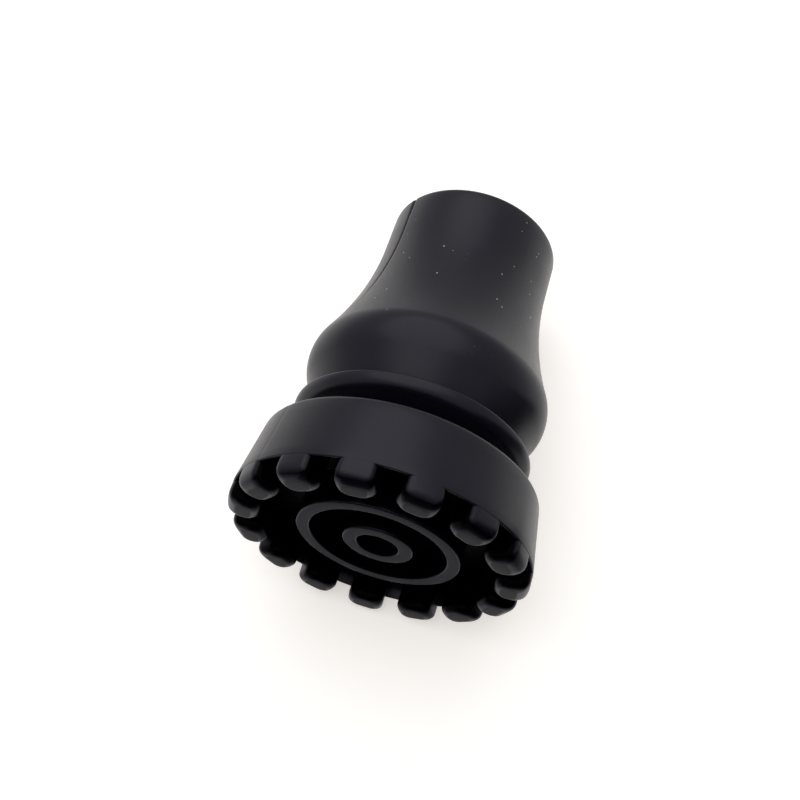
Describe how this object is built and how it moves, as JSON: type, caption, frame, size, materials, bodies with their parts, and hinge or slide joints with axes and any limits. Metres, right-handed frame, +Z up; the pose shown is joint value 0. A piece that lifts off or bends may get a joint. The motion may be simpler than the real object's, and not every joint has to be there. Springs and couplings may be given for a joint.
{
  "type": "cane tip",
  "caption": "Moulded rubber cane tip: a blind round socket grips the shaft, a bellows neck flexes, and a wide base with block lugs grips the ground.",
  "frame": {"origin": "centre of the tread, on the ground plane that the lugs stand on", "axes": "+Z up the axis of the shaft socket, out of its mouth; -Y towards the side that the picture shows"},
  "size_m": [0.0482, 0.0482, 0.0645],
  "materials": {
    "rubber": "matte moulded black rubber with a slight bloom"
  },
  "bodies": {
    "root": {"cane_tip": "rubber"}
  },
  "joints": []
}
